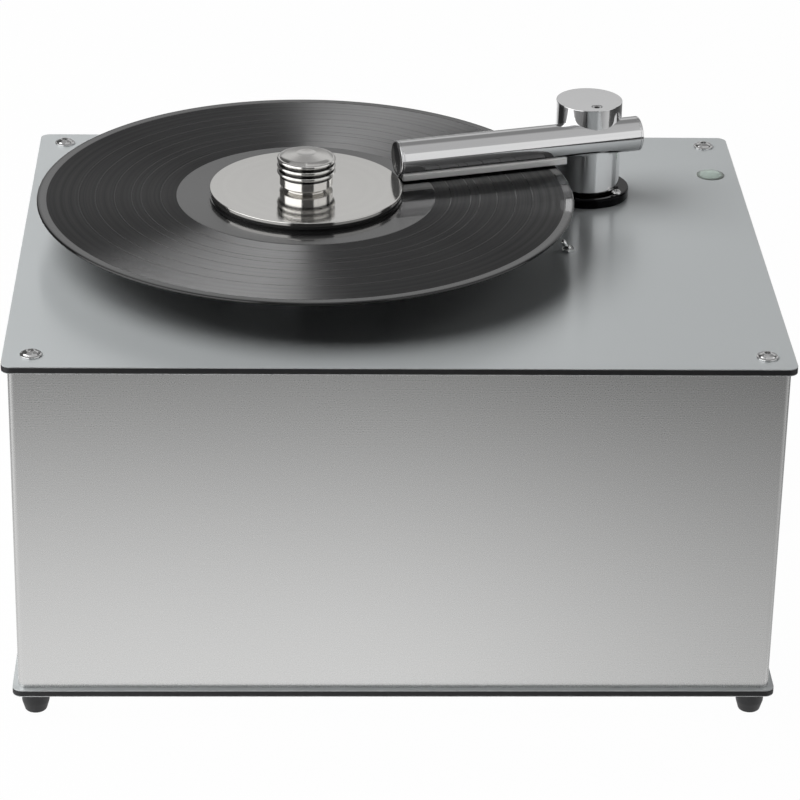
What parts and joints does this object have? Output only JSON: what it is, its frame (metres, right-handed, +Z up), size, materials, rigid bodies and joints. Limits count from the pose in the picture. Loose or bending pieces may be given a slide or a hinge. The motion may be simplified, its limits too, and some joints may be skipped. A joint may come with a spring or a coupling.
{
  "type": "record cleaning machine",
  "caption": "Vacuum record cleaner: closed metal case, driven platter with record and screw-down clamp, swinging and lifting suction arm, waste tank and blower inside.",
  "frame": {"origin": "on the table under the middle of the case, at the feet's lowest points", "axes": "+X to the right seen from the front, +Y to the back with the mains inlet, +Z up"},
  "size_m": [0.416, 0.332, 0.2702],
  "materials": {
    "composite_sheet": "satin aluminium skins on a black core",
    "wall_sheet": "satin anodised sheet",
    "panel_sheet": "fine black powder coat",
    "polished_steel": "polished stainless steel",
    "turned_steel": "turned and polished",
    "polished_aluminium": "polished",
    "plain_aluminium": "as machined",
    "zinc_steel": "zinc plated",
    "black_screw": "blackened steel",
    "bronze": "sintered bronze",
    "brass": "turned brass",
    "foot_rubber": "matt black rubber",
    "black_rubber": "soft black rubber",
    "vinyl": "glossy black vinyl with fine grooves",
    "felt": "black felt",
    "velvet": "black velvet",
    "black_anodised": "glossy black",
    "black_plastic": "moulded black plastic",
    "grey_plastic": "moulded grey plastic",
    "white_plastic": "milky moulded plastic",
    "clear_plastic": "clear acrylic",
    "red_plastic": "orange red",
    "circuit_board": "green solder mask",
    "cable_sheath": "black cable sheath"
  },
  "bodies": {
    "case": {"top_plate": "composite_sheet", "base_plate": "composite_sheet", "case_wall": "wall_sheet", "rear_panel": "panel_sheet", "corner_posts": "plain_aluminium", "plate_screws": "polished_steel", "panel_screws": "black_screw", "feet": "foot_rubber", "foot_screws": "zinc_steel", "bearing_housing": "plain_aluminium", "platter_bushes": "bronze", "housing_screws": "zinc_steel", "motor_standoffs": "zinc_steel", "gearbox": "plain_aluminium", "drive_motor": "zinc_steel", "arm_base_ring": "black_anodised", "arm_ring_screws": "polished_steel", "arm_bush": "bronze", "drop_hose": "black_rubber", "waste_tank": "white_plastic", "tank_lid": "white_plastic", "level_tube": "grey_plastic", "level_lens": "clear_plastic", "vacuum_seat": "black_rubber", "vacuum_motor": "zinc_steel", "fan_housing": "black_plastic", "vacuum_bracket": "zinc_steel", "vacuum_hose": "black_rubber", "power_inlet": "black_plastic", "rocker_frame": "black_plastic", "toggle_body": "polished_steel", "toggle_nut": "polished_steel", "power_board": "circuit_board", "board_parts": "black_plastic", "wiring": "cable_sheath"},
    "platter": {"gearbox_shaft": "turned_steel", "shaft_coupling": "plain_aluminium", "platter_spindle": "turned_steel", "platter": "plain_aluminium", "platter_mat": "felt", "record": "vinyl"},
    "clamp": {"clamp_disc": "turned_steel", "clamp_seal": "black_rubber", "clamp_collet": "brass"},
    "knob": {"clamp_knob": "turned_steel"},
    "swivel": {"arm_swivel_tube": "turned_steel", "swivel_nut": "zinc_steel"},
    "arm": {"arm_lift_spring": "turned_steel", "arm_post": "polished_aluminium", "arm_tube": "polished_steel", "arm_end_caps": "polished_steel", "suction_strip": "polished_steel", "velvet_pads": "velvet", "arm_tube_screw": "polished_steel"},
    "fan": {"fan_impeller": "plain_aluminium", "fan_shaft": "turned_steel"},
    "float": {"level_float": "red_plastic"},
    "lever": {"toggle_lever": "polished_steel"},
    "rocker": {"power_rocker": "black_plastic"},
    "drain": {"drain_plug": "black_plastic"}
  },
  "joints": [
    {"name": "platter_spin", "type": "hinge", "parent": "case", "child": "platter", "pos_m": [-0.0487, 0.0082, 0.212], "axis": [0, 0, 1], "continuous": true},
    {"name": "clamp_lift", "type": "slide", "parent": "platter", "child": "clamp", "axis": [0, 0, 1], "range_m": [0, 0.03]},
    {"name": "knob_turn", "type": "hinge", "parent": "clamp", "child": "knob", "pos_m": [-0.0487, 0.0082, 0.212], "axis": [0, 0, 1], "range_deg": [0, 270]},
    {"name": "arm_swing", "type": "hinge", "parent": "case", "child": "swivel", "pos_m": [0.1153, 0.07637, 0.212], "axis": [0, 0, 1], "range_deg": [0, 78]},
    {"name": "arm_lift", "type": "slide", "parent": "swivel", "child": "arm", "axis": [0, 0, 1], "range_m": [-0.0003, 0.006], "stiffness_N_per_m": 700, "springref_m": 0.002, "deforming": ["arm_lift_spring"]},
    {"name": "fan_spin", "type": "hinge", "parent": "case", "child": "fan", "pos_m": [-0.132, 0.09, 0.0785], "axis": [0, 0, 1], "continuous": true},
    {"name": "float_rise", "type": "slide", "parent": "case", "child": "float", "axis": [0, 0, 1], "range_m": [0, 0.06]},
    {"name": "mode_switch", "type": "hinge", "parent": "case", "child": "lever", "pos_m": [0.0988, -0.01004, 0.2133], "axis": [0, 1, 0], "range_deg": [0, 72]},
    {"name": "power_switch", "type": "hinge", "parent": "case", "child": "rocker", "pos_m": [-0.022, 0.1608, 0.058], "axis": [1, 0, 0], "range_deg": [0, 16]},
    {"name": "drain_pull", "type": "slide", "parent": "case", "child": "drain", "axis": [0, 1, 0], "range_m": [0, 0.025]}
  ]
}
